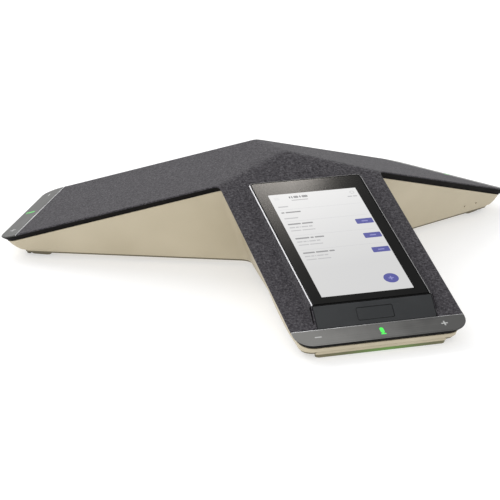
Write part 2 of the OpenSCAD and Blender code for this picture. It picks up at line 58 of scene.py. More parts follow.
# ---------------------------------------------------------------- sizes

ARMS = ("front", "right", "left")
ARM_ANGLES = dict(front=-90, right=30, left=150)
AXIS_Y = float(sum(c[1] for c in box_mm("speaker_magnet")) / 2)
FRONT_REACH = AXIS_Y - box_mm("touch_strip_front")[0][1]
BACK_REACH = 192.7
REACH = dict(front=FRONT_REACH, right=BACK_REACH, left=BACK_REACH)
HALF_W = 57.7              # half an arm's width at the cloth's edge
TIP_R = 12.0               # corners of the tips, seen from above
NECK_R = 8.0               # inner corners between the arms
NECK_SHARE = 0.12          # how fast the housing's inner corners widen as it leans in
APEX = 76.0                # height of the sharp pyramid under the softened apex
SLOPE = 0.32               # fall of an arm's top per mm outwards
RIDGE_SHARPNESS = 1.3      # per mm; lower is a softer ridge
BAND_DROP = 5.4            # the dark band's lower edge, below the top
BAND_IN = 5.8              # how far it leans in at the sides
BAND_TIP_IN = 4.2          # and at the tips
CLOTH_T = 0.9
FLOOR_Z = 4.0              # the housing's underside
WALL = 2.2
DRAFT = math.tan(math.radians(19))
STRIP_LEN = 13.6
STRIP_T = 0.95             # the part of a strip that shows
SCREEN_W = 80.0
SCREEN_LEN = 139.4
SCREEN_START = 42.2        # from the arms' axis to the screen's top edge
SCREEN_Z = 67.7
SCREEN_TILT = math.atan(0.3)
LIT_W, LIT_LEN, LIT_START = 62.0, 115.4, 16.2
KEY_W, KEY_H, KEY_ALONG = 24.0, 8.4, 8.2


def arm_vectors(arm):
    """Unit vectors along an arm and across it, to its left."""
    t = math.radians(ARM_ANGLES[arm])
    return np.array([math.cos(t), math.sin(t)]), np.array([-math.sin(t), math.cos(t)])


def to_plan(arm, s, u):
    """Plan position of a point s along an arm and u across it."""
    along, across = arm_vectors(arm)
    return np.multiply.outer(s, along) + np.multiply.outer(u, across) + [0, AXIS_Y]


def roof(xy):
    """Height of the phone's softened top over each plan position."""
    rel = np.asarray(xy) - [0, AXIS_Y]
    planes = np.stack([APEX - SLOPE * (rel @ arm_vectors(a)[0]) for a in ARMS])
    low = planes.min(0)
    return low - np.log(np.exp(-RIDGE_SHARPNESS * (planes - low)).sum(0)) / RIDGE_SHARPNESS


def lift(xy, drop):
    """Plan positions with the height of the top, lowered by drop."""
    return np.column_stack([xy, roof(xy) - drop])


# ---------------------------------------------------------------- the star's outline

NECK_STEPS, SIDE_STEPS, CORNER_STEPS, TIP_STEPS = 8, 26, 10, 8


def half_outline(arm, inset, tip_inset, neck_share=1.0):
    """Half an arm's outline from the middle of the neck to the middle of the tip, as s along and -u across.
    The insets may be one number or one for each point."""
    count = NECK_STEPS + SIDE_STEPS + CORNER_STEPS + TIP_STEPS
    inset = np.broadcast_to(inset, count).astype(float)
    tip_inset = np.broadcast_to(tip_inset, count).astype(float)
    half = HALF_W - inset
    neck_r = NECK_R + neck_share * inset
    reach = REACH[arm] - tip_inset
    corner_r = np.maximum(TIP_R - 0.3 * (inset + tip_inset), 3)
    neck_mid = (half + neck_r) / math.sin(math.radians(60))
    kinds = np.repeat([0, 1, 2, 3], [NECK_STEPS, SIDE_STEPS, CORNER_STEPS, TIP_STEPS])
    t = np.concatenate([np.arange(n) / n for n in (NECK_STEPS, SIDE_STEPS, CORNER_STEPS, TIP_STEPS)])
    neck_angle = np.radians(120 - 30 * t)
    corner_angle = np.radians(-90 + 90 * t)
    side_start = neck_mid * math.cos(math.radians(60))
    side_end = reach - corner_r
    s = np.select([kinds == 0, kinds == 1, kinds == 2], [
        side_start + neck_r * np.cos(neck_angle),
        side_start + (side_end - side_start) * t,
        side_end + corner_r * np.cos(corner_angle)], reach)
    u = np.select([kinds == 0, kinds == 1, kinds == 2], [
        -neck_mid * math.sin(math.radians(60)) + neck_r * np.sin(neck_angle),
        -half,
        -half + corner_r + corner_r * np.sin(corner_angle)],
        (-half + corner_r) * (1 - t))
    return s, u


def star_loop(inset=0.0, tip_inset=0.0, neck_share=1.0):
    """The closed outline of the whole star, counter-clockwise. Insets may have one value a point."""
    count = 2 * (NECK_STEPS + SIDE_STEPS + CORNER_STEPS + TIP_STEPS)
    inset = np.broadcast_to(inset, 3 * count).reshape(3, count)
    tip_inset = np.broadcast_to(tip_inset, 3 * count).reshape(3, count)
    n = count // 2
    points = []
    for arm, side, tip in zip(ARMS, inset, tip_inset):
        s, u = half_outline(arm, side[:n], tip[:n], neck_share)
        # the second half mirrors the first, from the tip's middle back to the neck
        back = np.concatenate([side[n:n + 1], side[:n:-1]]), np.concatenate([tip[n:n + 1], tip[:n:-1]])
        s2, u2 = half_outline(arm, back[0], back[1], neck_share)
        tip_mid = to_plan(arm, np.array([REACH[arm] - tip[n]]), np.array([0.0]))
        points += [to_plan(arm, s, u), tip_mid, to_plan(arm, s2[:0:-1], -u2[:0:-1])]
    return np.concatenate(points)


def front_share():
    """For each outline point 0 on the back arms and near the middle, rising to 1 towards the front tip."""
    s = (star_loop() - [0, AXIS_Y]) @ arm_vectors("front")[0]
    return np.clip((s - 90) / 75, 0, 1)


# the front arm's sides lean in less and less towards its tip
SIDE_IN = BAND_IN - 1.8 * front_share()
SIDE_DRAFT = DRAFT + (math.tan(math.radians(13)) - DRAFT) * front_share()


# ---------------------------------------------------------------- mesh helpers

def add_object(name, data):
    obj = bpy.data.objects.new(name, data)
    bpy.context.scene.collection.objects.link(obj)
    return obj


def new_mesh(name, verts, faces):
    """A mesh from points in millimetres, with points that meet joined and faces turned outwards."""
    mesh = bpy.data.meshes.new(name)
    mesh.from_pydata((np.asarray(verts, float) * MM).tolist(), [], [list(map(int, f)) for f in faces])
    bm = bmesh.new()
    bm.from_mesh(mesh)
    bmesh.ops.remove_doubles(bm, verts=bm.verts, dist=2e-6)
    bmesh.ops.recalc_face_normals(bm, faces=bm.faces)
    bm.to_mesh(mesh)
    bm.free()
    return mesh


def make_piece(name, verts, faces, material, body, slot, smooth=30):
    """A mesh object from points in millimetres. Edges sharper than smooth degrees stay crisp."""
    return finish_piece(name, new_mesh(name, verts, faces), material, body, slot, smooth)


def finish_piece(name, mesh, material, body, slot, smooth=30):
    mesh.set_sharp_from_angle(angle=math.radians(smooth))
    for p in mesh.polygons:
        p.use_smooth = len(p.vertices) <= 4      # flat caps stay truly flat
    obj = add_object(name, mesh)
    mesh.materials.append(material)
    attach(obj, body)
    return obj


def grid_faces(rows, cols, closed=False):
    """Quads between rows of cols points each. closed joins each row's last point to its first."""
    r, c = np.meshgrid(np.arange(rows - 1), np.arange(cols if closed else cols - 1), indexing="ij")
    a = r * cols + c
    b = r * cols + (c + 1) % cols
    return np.stack([a, b, b + cols, a + cols], -1).reshape(-1, 4)


def loft(loops, cap_first=False, cap_last=False, ring=False):
    """Skin through closed loops. ring joins the last loop back to the first."""
    loops = [np.asarray(x) for x in loops]
    n = len(loops[0])
    if ring:
        loops = loops + [loops[0]]
    faces = [list(f) for f in grid_faces(len(loops), n, closed=True)]
    if cap_first:
        faces.append(list(range(n))[::-1])
    if cap_last:
        faces.append([(len(loops) - 1) * n + i for i in range(n)])
    return np.concatenate(loops), faces


def solid(loops):
    """Closed skin through loops, flat at both ends."""
    return loft(loops, cap_first=True, cap_last=True)


def open_band(profiles):
    """Closed skin of a band, from rows of points that run along it, with both ends capped."""
    rows, cols = profiles.shape[:2]
    faces = [list(f) for f in grid_faces(rows, cols)]
    faces += [[(rows - 1) * cols + i, (rows - 1) * cols + i + 1, i + 1, i] for i in range(cols - 1)]
    faces += [[r * cols for r in range(rows)], [r * cols + cols - 1 for r in range(rows)][::-1]]
    return profiles.reshape(-1, 3), faces


def merge(parts):
    """Several parts' points and faces as one."""
    verts, faces = [], []
    for v, f in parts:
        base = sum(len(x) for x in verts)
        verts.append(np.asarray(v, float))
        faces += [[i + base for i in face] for face in f]
    return np.concatenate(verts), faces


def bridge(a, b, n):
    """Quads between two loops of n points that start at points a and b."""
    return [[a + i, a + (i + 1) % n, b + (i + 1) % n, b + i] for i in range(n)]


def modify(obj, kind, **settings):
    """Adds a modifier to a piece, sets it up and applies it."""
    m = obj.modifiers.new(kind.lower(), kind)
    for key, value in settings.items():
        setattr(m, key, value)
    with bpy.context.temp_override(object=obj, active_object=obj, selected_objects=[obj]):
        bpy.ops.object.modifier_apply(modifier=m.name)


def rounded_rect(length, width, r, steps=8, inset=0.0, far_r=None):
    """Closed outline of a rectangle from x 0 to length, centred across, with rounded corners.
    far_r is the radius of the corners at length, if it differs."""
    near = max(r - inset, 0.2)
    far = near if far_r is None else max(far_r - inset, 0.2)
    x0, x1, h = inset, length - inset, width / 2 - inset
    corners = ((x1 - far, h - far, far, 0), (x0 + near, h - near, near, 90),
               (x0 + near, near - h, near, 180), (x1 - far, far - h, far, 270))
    pts = []
    for cx, cy, radius, start in corners:
        for k in range(steps + 1):
            a = math.radians(start + 90 * k / steps)
            pts.append((cx + radius * math.cos(a), cy + radius * math.sin(a)))
    return np.array(pts)


def on_screen(xy, w):
    """Model points from x down the screen, y across it and w above its top face."""
    xy = np.asarray(xy, float)
    c, s = math.cos(SCREEN_TILT), math.sin(SCREEN_TILT)
    along = SCREEN_START + xy[:, 0] * c + w * s
    return np.column_stack([xy[:, 1], AXIS_Y - along, SCREEN_Z - xy[:, 0] * s + w * c])


def quarter_round(r, steps=3):
    """How far in from and how far below its top a rounded edge of radius r is, from its foot upwards."""
    for k in range(steps + 1):
        a = math.radians(90 * k / steps)
        yield r * (1 - math.cos(a)), r * (1 - math.sin(a))


def plate(outline, place, low, high, round_by):
    """A plate between two heights with its top edge rounded: place turns (outline, w) into points."""
    loops = [place(outline, low)]
    for shrink, drop in quarter_round(round_by):
        loops.append(place(inset_loop(outline, shrink), high - drop))
    return solid(loops)


def inset_loop(outline, distance):
    """A closed counter-clockwise outline moved inwards by distance."""
    before, after = np.roll(outline, 1, 0), np.roll(outline, -1, 0)
    t = after - before
    t /= np.linalg.norm(t, axis=1)[:, None]
    return outline + distance * np.column_stack([-t[:, 1], t[:, 0]])


# ---------------------------------------------------------------- materials

class Shader:
    """A material with one Principled shader, and short ways to add what feeds it."""

    def __init__(self, name, **sockets):
        self.material = bpy.data.materials.new(name)
        self.material.use_nodes = True
        self.tree = self.material.node_tree
        self.bsdf = self.tree.nodes["Principled BSDF"]
        for key, value in sockets.items():
            socket = self.bsdf.inputs[key.replace("_", " ")]
            socket.default_value = (*value, 1) if isinstance(value, tuple) and len(value) == 3 else value
        self.coords = self.tree.nodes.new("ShaderNodeTexCoord").outputs["Object"]

    def node(self, kind, inputs=(), **props):
        n = self.tree.nodes.new(kind)
        for key, value in props.items():
            setattr(n, key, value)
        for key, value in dict(inputs).items():
            if isinstance(value, bpy.types.NodeSocket):
                self.tree.links.new(value, n.inputs[key])
            else:
                n.inputs[key].default_value = value
        return n

    def stretched(self, scale, turn=0.0):
        """Object coordinates in millimetres, turned about Z by degrees and then scaled."""
        turned = self.node("ShaderNodeMapping", {
            "Vector": self.coords, "Rotation": (0, 0, math.radians(turn)), "Scale": (1 / MM, 1 / MM, 1 / MM)})
        return self.node("ShaderNodeMapping", {"Vector": turned.outputs[0], "Scale": scale}).outputs[0]

    def axis(self, name):
        """One object coordinate in metres."""
        return self.node("ShaderNodeSeparateXYZ", {"Vector": self.coords}).outputs[name]

    def noise(self, scale=(1, 1, 1), size=1.0, detail=2.0, rough=0.5, turn=0.0):
        """Noise with features about size millimetres across."""
        return self.node("ShaderNodeTexNoise", {"Vector": self.stretched(scale, turn), "Scale": 1 / size,
                                                "Detail": detail, "Roughness": rough}).outputs["Fac"]

    def cells(self, size, scale=(1, 1, 1)):
        return self.node("ShaderNodeTexVoronoi", {"Vector": self.stretched(scale), "Scale": 1 / size})

    def ramp(self, fac, stops):
        n = self.node("ShaderNodeValToRGB", {"Fac": fac})
        while len(n.color_ramp.elements) < len(stops):
            n.color_ramp.elements.new(0.5)
        for e, (at, colour) in zip(n.color_ramp.elements, stops):
            e.position = at
            e.color = (*colour, 1) if isinstance(colour, tuple) else (colour, colour, colour, 1)
        return n.outputs["Color"]

    def math(self, kind, a, b):
        return self.node("ShaderNodeMath", {0: a, 1: b}, operation=kind).outputs[0]

    def weighted(self, a, share_a, b, share_b):
        return self.math("ADD", self.math("MULTIPLY", a, share_a), self.math("MULTIPLY", b, share_b))

    def feed(self, name, socket):
        self.tree.links.new(socket, self.bsdf.inputs[name])

    def bump(self, height, depth, strength=1.0):
        """Feeds the normal from a height of depth millimetres."""
        n = self.node("ShaderNodeBump", {"Height": height, "Distance": depth * MM, "Strength": strength})
        self.feed("Normal", n.outputs[0])


def melange_cloth():
    """Charcoal knit: dark and pale yarns in short runs, with a fine weave in relief."""
    m = Shader("melange_cloth", Roughness=0.95, Specular_IOR_Level=0.08, Sheen_Weight=0.10,
               Sheen_Roughness=0.5)
    across = m.noise(scale=(1.0, 0.55, 1), size=0.95, detail=2, rough=0.6)
    along = m.noise(scale=(0.55, 1.0, 1), size=0.95, detail=2, rough=0.6)
    coarse = m.noise(size=1.9, detail=2, rough=0.7)
    yarn = m.weighted(m.math("ADD", across, along), 0.34, coarse, 0.32)
    fleck = m.ramp(yarn, [
        (0.40, (0.016, 0.0145, 0.018)), (0.48, (0.040, 0.037, 0.043)), (0.54, (0.064, 0.060, 0.067)),
        (0.66, (0.115, 0.110, 0.120))])
    m.feed("Base Color", fleck)
    weave = m.cells(0.85).outputs["Distance"]
    m.bump(m.math("ADD", m.math("MULTIPLY", weave, -0.8), yarn), 0.22, 0.8)
    return m.material


def satin_paint():
    """Champagne paint over moulded plastic: a fine mottle, faint pearl flakes and a soft coat."""
    m = Shader("satin_paint", Roughness=0.5, Coat_Weight=0.12, Coat_Roughness=0.35, Specular_IOR_Level=0.4)
    flakes = m.noise(size=0.22, detail=1)
    drift = m.noise(size=45, detail=2)
    colour = m.ramp(m.weighted(flakes, 0.35, drift, 0.65), [
        (0.30, (0.475, 0.415, 0.295)), (0.70, (0.565, 0.50, 0.37))])
    m.feed("Base Color", colour)
    m.feed("Roughness", m.ramp(flakes, [(0.3, 0.42), (0.7, 0.56)]))
    m.bump(m.noise(size=0.5, detail=2), 0.015, 0.6)
    return m.material


def moulded(name, dark, light, rough, grain=0.35, depth=0.03, **sockets):
    """Plain moulded plastic or rubber with a fine spark-eroded grain."""
    m = Shader(name, Roughness=rough, **sockets)
    grain_noise = m.noise(size=grain, detail=3)
    drift = m.noise(size=18, detail=2)
    share = m.weighted(grain_noise, 0.5, drift, 0.5)
    m.feed("Base Color", m.ramp(share, [(0.35, dark), (0.65, light)]))
    m.feed("Roughness", m.ramp(drift, [(0.3, rough - 0.06), (0.7, rough + 0.06)]))
    m.bump(grain_noise, depth, 0.7)
    return m.material


def strip_grey_with_painted_light(arm):
    """Satin grey strip with faint brush lines that run across its arm. The front strip has a painted
    highlight, paler towards the user's left; the back strips are painted darker and less glossy, as painted
    shade.
    """
    front = arm == "front"
    m = Shader("brushed_strip_painted_light_" + arm, Metallic=0.25 if front else 0.1,
               Specular_IOR_Level=0.4 if front else 0.2)
    turn = -ARM_ANGLES[arm]
    lines = m.noise(scale=(3.2, 0.02, 3.2), size=1.0, detail=3, turn=turn)
    drift = m.noise(size=14, detail=2)
    share = m.weighted(lines, 0.6, drift, 0.4)
    if front:
        painted_highlight_per_metre = 9.0      # painted highlight: paler towards the user's left
        share = m.math("SUBTRACT", share, m.math("MULTIPLY", m.axis("X"), painted_highlight_per_metre))
        stops = [(0.2, (0.085, 0.085, 0.083)), (0.8, (0.200, 0.199, 0.192))]
    else:
        # painted shade: the back strips are darker than the front one
        stops = [(0.3, (0.070, 0.070, 0.068)), (0.7, (0.105, 0.105, 0.101))]
    m.feed("Base Color", m.ramp(share, stops))
    m.feed("Roughness", m.ramp(lines, [(0.3, 0.30), (0.7, 0.42)]))
    m.bump(lines, 0.012, 0.6)
    return m.material


def metal(name, dark, light, rough):
    m = Shader(name, Metallic=1.0, Roughness=rough)
    lines = m.noise(size=0.5, detail=3)
    m.feed("Base Color", m.ramp(lines, [(0.3, dark), (0.7, light)]))
    m.feed("Roughness", m.ramp(lines, [(0.3, rough - 0.05), (0.7, rough + 0.08)]))
    m.bump(lines, 0.01, 0.5)
    return m.material


def lit(name, colour, strength):
    """A light guide: lit plastic that is a little uneven."""
    dim = tuple(c * 0.7 for c in colour)
    m = Shader(name, Roughness=0.35, Base_Color=colour, Emission_Strength=strength)
    glow = m.noise(size=1.6, detail=2)
    m.feed("Emission Color", m.ramp(glow, [(0.3, dim), (0.7, colour)]))
    return m.material


def black_glass():
    """Cover glass, black behind, with a soft gloss and the faint wipe marks that glass has."""
    m = Shader("black_glass", Specular_IOR_Level=0.0, Coat_Weight=0.35)
    wipe = m.noise(scale=(1, 0.3, 1), size=16, detail=3)
    m.feed("Coat Roughness", m.ramp(wipe, [(0.35, 0.12), (0.75, 0.135)]))
    m.feed("Base Color", m.ramp(wipe, [(0.3, (0.003, 0.003, 0.003)), (0.8, (0.005, 0.005, 0.005))]))
    return m.material


def along_arm(m, near, far):
    """0 at near and 1 at far, in millimetres down the model from its middle towards the front."""
    ends = {"From Min": -near * MM, "From Max": -far * MM}
    return m.node("ShaderNodeMapRange", {"Value": m.axis("Y"), **ends}).outputs["Result"]


def lit_screen(name, colour, strength, fall=1.0):
    """Part of the picture: mostly its own light, a little dimmer towards the screen's lower end."""
    m = Shader(name, Roughness=0.25, Base_Color=tuple(0.04 * c for c in colour), Emission_Strength=strength,
               Specular_IOR_Level=0.2)
    lit_end = FRONT_REACH - AXIS_Y
    drift = m.math("MULTIPLY", m.noise(size=70, detail=1), 0.05)
    share = m.math("ADD", along_arm(m, 20, lit_end - 60), drift)
    m.feed("Emission Color", m.ramp(share, [(0.0, colour), (1.0, tuple(fall * c for c in colour))]))
    return m.material


def glowing_guide():
    """Tinted light guide: olive unlit, with a green glow round its middle."""
    m = Shader("light_guide", Roughness=0.4, Emission_Strength=0.26)
    glow_x, glow_half = 4.0, 46.0
    off_middle = m.math("ABSOLUTE", m.math("SUBTRACT", m.math("MULTIPLY", m.axis("X"), 1 / MM), glow_x), 0.0)
    share = m.weighted(off_middle, 1 / glow_half, m.noise(size=6), 0.06)
    m.feed("Emission Color", m.ramp(share, [(0.05, (0.10, 0.46, 0.02)), (0.30, (0.07, 0.26, 0.015)),
                                            (0.62, (0.008, 0.015, 0.002)), (1.0, (0.0, 0.0, 0.0))]))
    m.feed("Base Color", m.ramp(share, [(0.0, (0.10, 0.14, 0.05)), (1.0, (0.155, 0.135, 0.075))]))
    return m.material


def board_green():
    """Solder resist with copper tracks showing through as paler lines."""
    m = Shader("board_green", Roughness=0.35, Specular_IOR_Level=0.5)
    tracks = m.cells(3.0, scale=(1, 1, 0.2)).outputs["Distance"]
    m.feed("Base Color", m.ramp(tracks, [(0.25, (0.012, 0.085, 0.040)), (0.55, (0.020, 0.130, 0.062))]))
    m.bump(tracks, 0.03, 0.4)
    return m.material


def winding():
    """Fine lacquered copper wire laid in turns."""
    m = Shader("copper_winding", Metallic=1.0, Roughness=0.3)
    turns = m.noise(scale=(0.02, 0.02, 8), size=1.0, detail=1)
    m.feed("Base Color", m.ramp(turns, [(0.35, (0.42, 0.16, 0.06)), (0.65, (0.80, 0.38, 0.20))]))
    m.bump(turns, 0.05, 0.8)
    return m.material


CLOTH = melange_cloth()
PAINT = satin_paint()
BLACK = moulded("black_moulding", (0.003, 0.0027, 0.003), (0.006, 0.0055, 0.006), 0.7,
                Specular_IOR_Level=0.05)
PANEL = moulded("panel_grey", (0.034, 0.036, 0.038), (0.042, 0.044, 0.046), 0.5,
                Specular_IOR_Level=0.2)
RUBBER = moulded("rubber", (0.050, 0.047, 0.038), (0.072, 0.067, 0.055), 0.75, grain=0.5, depth=0.05)
FOOT = moulded("foot_rubber", (0.135, 0.115, 0.072), (0.165, 0.142, 0.090), 0.7, grain=0.5, depth=0.05)
FOAM = moulded("foam", (0.045, 0.045, 0.047), (0.085, 0.085, 0.088), 0.9, grain=0.9, depth=0.25)
CONE = moulded("coated_paper", (0.020, 0.020, 0.022), (0.042, 0.042, 0.045), 0.7, grain=1.2, depth=0.12)
JACK = moulded("jack_black", (0.018, 0.018, 0.020), (0.030, 0.030, 0.032), 0.45)
RIBBON = moulded("flat_lead", (0.55, 0.43, 0.24), (0.68, 0.57, 0.36), 0.45, grain=2.5, depth=0.02)
LABEL = moulded("blank_label", (0.28, 0.28, 0.285), (0.34, 0.34, 0.345), 0.4)
FERRITE = moulded("ferrite", (0.075, 0.075, 0.080), (0.12, 0.12, 0.125), 0.6, grain=0.6, depth=0.08)
BASKET = moulded("basket_paint", (0.030, 0.031, 0.034), (0.050, 0.052, 0.056), 0.38)
STEEL = metal("stamped_steel", (0.48, 0.49, 0.50), (0.68, 0.69, 0.70), 0.32)
ZINC = metal("zinc_screw", (0.38, 0.39, 0.41), (0.58, 0.59, 0.61), 0.35)
RIM = metal("polished_rim", (0.78, 0.78, 0.79), (0.88, 0.88, 0.89), 0.40)
SCREEN_RIM = metal("screen_rim_metal", (0.42, 0.42, 0.43), (0.52, 0.52, 0.53), 0.40)
FRAME = moulded("screen_frame", (0.008, 0.008, 0.0085), (0.013, 0.013, 0.0135), 0.5, Specular_IOR_Level=0.15)
GLASS = black_glass()
BOARD = board_green()
COPPER = winding()
STRIPS = {arm: strip_grey_with_painted_light(arm) for arm in ARMS}
# the mute marks on the back arms glow dimmer than the front one: painted shade
GREENS = {arm: lit("mute_green_" + arm, (0.05, 0.62, 0.07), 0.8 if arm == "front" else 0.22)
          for arm in ARMS}
WHITE = lit("mark_white", (0.38, 0.385, 0.38), 0.30)
GUIDE = glowing_guide()


# ---------------------------------------------------------------- cloth over the top

CLOTH_EDGE = 0.9           # radius that the cloth turns down with
STRIP_GAP = 0.35
SCREEN_GAP = 0.35


def edge_profile():
    """Outward and downward steps of the cloth as it turns over an edge, as shares of CLOTH_EDGE."""
    for k in (1, 2, 3, 4):
        a = math.radians(22.5 * k)
        yield math.sin(a), 1 - math.cos(a)


def cloth_rows(arm):
    """How far each row of the cloth's grid lies along an arm, from the end of the neck's round outwards."""
    neck_end = (HALF_W + NECK_R) / math.tan(math.radians(60))
    tip = REACH[arm] - STRIP_LEN - STRIP_GAP - CLOTH_EDGE
    cut = SCREEN_START - SCREEN_GAP - CLOTH_EDGE
    if arm == "front":
        return np.concatenate([np.linspace(neck_end, cut, 4), np.linspace(cut, tip, 60)[1:]]), 3
    return np.linspace(neck_end, tip, 60), None


def cloth_skin():
    """The cloth as one grid an arm, turned down at every edge, then given its thickness."""
    edge = SCREEN_W / 2 + SCREEN_GAP + CLOTH_EDGE
    full = HALF_W - CLOTH_EDGE
    middle = np.linspace(0, edge / full, 18)
    outer = np.linspace(edge / full, 1, 9)[1:]
    shares = np.concatenate([middle, outer])
    shares = np.concatenate([-shares[:0:-1], shares])
    bm = bmesh.new()
    neck_rows = 14
    for arm in ARMS:
        s_rows, cut_row = cloth_rows(arm)
        s0, u0 = half_outline(arm, CLOTH_EDGE, CLOTH_EDGE)
        at, known = np.linspace(0, NECK_STEPS, neck_rows + 1), np.arange(NECK_STEPS + 1)
        neck_s, neck_u = (np.interp(at, known, values[:NECK_STEPS + 1]) for values in (s0, u0))
        side_s = np.concatenate([neck_s, s_rows[1:]])
        side_u = -np.concatenate([neck_u, np.full(len(s_rows) - 1, -full)])
        centre_s = np.concatenate([np.linspace(0, s_rows[0], neck_rows + 1), s_rows[1:]])
        share = np.abs(shares)[None, :]
        s = centre_s[:, None] * (1 - share) + side_s[:, None] * share
        u = side_u[:, None] * shares[None, :]
        xy = to_plan(arm, s.ravel(), u.ravel())
        verts = [bm.verts.new(p) for p in lift(xy, 0)]
        rows, cols = s.shape
        first_hole = None if cut_row is None else neck_rows + cut_row
        inside = np.abs(shares[:-1] + shares[1:]) / 2 < edge / full
        for r in range(rows - 1):
            for c in range(cols - 1):
                if first_hole is not None and r >= first_hole and inside[c]:
                    continue
                corners = [r * cols + c, r * cols + c + 1, (r + 1) * cols + c + 1, (r + 1) * cols + c]
                bm.faces.new([verts[i] for i in corners])
    bmesh.ops.remove_doubles(bm, verts=bm.verts, dist=0.02)
    bmesh.ops.dissolve_degenerate(bm, edges=bm.edges, dist=0.001)
    turn_down(bm)
    mesh = bpy.data.meshes.new("cloth_skin")
    bmesh.ops.scale(bm, verts=bm.verts, vec=(MM, MM, MM))
    loose = [v for v in bm.verts if not v.link_faces]
    bmesh.ops.delete(bm, geom=loose, context="VERTS")
    bmesh.ops.recalc_face_normals(bm, faces=bm.faces)
    bm.to_mesh(mesh)
    bm.free()
    obj = finish_piece("cloth_skin", mesh, CLOTH, "phone", "fabric", smooth=60)
    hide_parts("fabric_skin")
    modify(obj, "SOLIDIFY", thickness=0.8 * CLOTH_T * MM, offset=-1.0)


def cloth_collar():
    """The cloth drawn up to the rim of the screen and to the chin, as a closed band with a hollow slope."""
    half, r, gap = SCREEN_W / 2, FRAME_R, 0.12
    sides = np.linspace(CHIN_S1, SCREEN_START + r, 70)
    corner = np.radians(np.linspace(0, 90, 10)[1:-1])
    top = np.linspace(half - r, r - half, 40)
    s = np.concatenate([sides, SCREEN_START + r - r * np.sin(corner), np.full(len(top), SCREEN_START)])
    u = np.concatenate([np.full(len(sides), half), half - r + r * np.cos(corner), top])
    out_s = np.concatenate([np.zeros(len(sides)), -np.sin(corner), np.full(len(top), -1.0)])
    out_u = np.concatenate([np.ones(len(sides)), np.cos(corner), np.zeros(len(top))])
    turn = slice(len(sides) + len(corner) - 1, None, -1)
    s, out_s = np.concatenate([s, s[turn]]), np.concatenate([out_s, out_s[turn]])
    u, out_u = np.concatenate([u, -u[turn]]), np.concatenate([out_u, -out_u[turn]])
    below_screen, below_chin = 0.62, 0.3
    screen_top = SCREEN_Z - (s - SCREEN_START) * math.tan(SCREEN_TILT) - below_screen
    chin_top = CHIN_Z0 - (s - CHIN_S0) * math.tan(CHIN_ANGLE) - below_chin
    rim = np.where(s < CHIN_S0 - 1, screen_top, np.minimum(screen_top, chin_top))
    rows = []
    slope = ((gap, 1.0), (gap + 0.3, 0.97), (gap + 0.55, 0.85), (gap + 0.8, 0.62), (gap + 1.05, 0.38),
             (gap + 1.35, 0.17), (gap + 1.8, 0.02), (gap + 2.2, -0.2), (gap, -0.2))
    for out, share in slope:
        xy = to_plan("front", s + out * out_s, u + out * out_u)
        base = roof(xy)
        height = np.maximum(rim - roof(to_plan("front", s, u)), 0.02)
        z = base + height * share if share >= 0 else base + share
        rows.append(np.column_stack([xy, z]))
    make_piece("cloth_collar", *open_band(np.array(rows)), CLOTH, "phone", "fabric", smooth=60)


def turn_down(bm):
    """Rolls every open edge outwards and down, as cloth turns over the edge of a frame."""
    edges = [e for e in bm.edges if len(e.link_faces) == 1]
    outward = {}
    for e in edges:
        face = e.link_faces[0]
        a, b = e.verts
        along = b.co - a.co
        side = Vector((along.y, -along.x, 0)).normalized()
        if side.dot((a.co + b.co) / 2 - face.calc_center_median()) < 0:
            side = -side
        for v in e.verts:
            outward.setdefault(v, []).append(side)
    push = {}
    for v, sides in outward.items():
        total = sum(sides, Vector())
        n = total.normalized()
        push[v] = n / max(n.dot(sides[0]), 0.5)
    ring = {v: v for v in outward}
    base = {v: v.co.copy() for v in outward}
    for out, down in edge_profile():
        new = {v: bm.verts.new(base[v] + push[v] * out * CLOTH_EDGE - Vector((0, 0, down * CLOTH_EDGE)))
               for v in outward}
        for e in edges:
            a, b = e.verts
            bm.faces.new([ring[a], ring[b], new[b], new[a]])
        ring = new


# ---------------------------------------------------------------- dark band and lower housing

def band_loop(share, extra_in=0.0, drop=None):
    """Outline on the leaning band: share 0 at the cloth, 1 at the housing."""
    xy = star_loop(0.25 + (SIDE_IN - 0.25) * share + extra_in, 0.2 + (BAND_TIP_IN - 0.2) * share + extra_in)
    top = CLOTH_T + 0.1
    return lift(xy, top + (BAND_DROP - top) * share if drop is None else drop)


def edge_band():
    """Dark frame under the cloth's edge, a closed ring with its inner ledge."""
    ledge = 4.2
    loops = [band_loop(0, 0.35, CLOTH_T + 0.05), band_loop(0), band_loop(0.33), band_loop(0.66),
             band_loop(0.96), band_loop(1, 0.25, BAND_DROP), band_loop(1, ledge, BAND_DROP),
             band_loop(1, ledge, 3.3), band_loop(0, 6.4, 3.3), band_loop(0, 6.4, CLOTH_T + 0.05)]
    for points in loops:
        sink_under_strips(points)
    verts, faces = loft(loops, ring=True)
    obj = make_piece("edge_band", verts, faces, BLACK, "phone", "frame_black", smooth=35)
    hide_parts("mid_frame")


def sink_under_strips(points):
    """Lowers the points under the touch strips so that they clear them."""
    for arm in ARMS:
        along = (points[:, :2] - [0, AXIS_Y]) @ arm_vectors(arm)[0]
        under = along > REACH[arm] - STRIP_LEN - 0.3
        ceiling = roof(points[:, :2]) - STRIP_T - 0.1
        points[under, 2] = np.minimum(points[under, 2], ceiling[under])


def housing_loop(share, wall=0.0, lip=0.0):
    """Outline on the housing's side, from the seam at share 0 to the floor at share 1."""
    xy = star_loop(SIDE_IN + wall, BAND_TIP_IN + wall, NECK_SHARE)
    floor = FLOOR_Z + wall
    for _ in range(4):
        top = roof(xy)
        z = (top - BAND_DROP - 0.05) * (1 - share) + floor * share
        depth = np.maximum(top - z - BAND_DROP, 0)
        side = SIDE_IN + wall / math.cos(math.atan(DRAFT)) + depth * SIDE_DRAFT + lip
        tip = BAND_TIP_IN + wall + lip + tip_lean(share, depth)
        xy = star_loop(side, tip, NECK_SHARE)
    return np.column_stack([xy, z])


def tip_lean(share, depth):
    """How far the end of an arm has leaned in: the front tip stands up, the back tips sweep under."""
    n = len(depth) // 3
    back = 14.0 * (1 - math.sqrt(max(1 - share ** 1.6, 0)))
    front = 1.5 * share
    return np.concatenate([np.full(n, front), np.full(2 * n, back)])


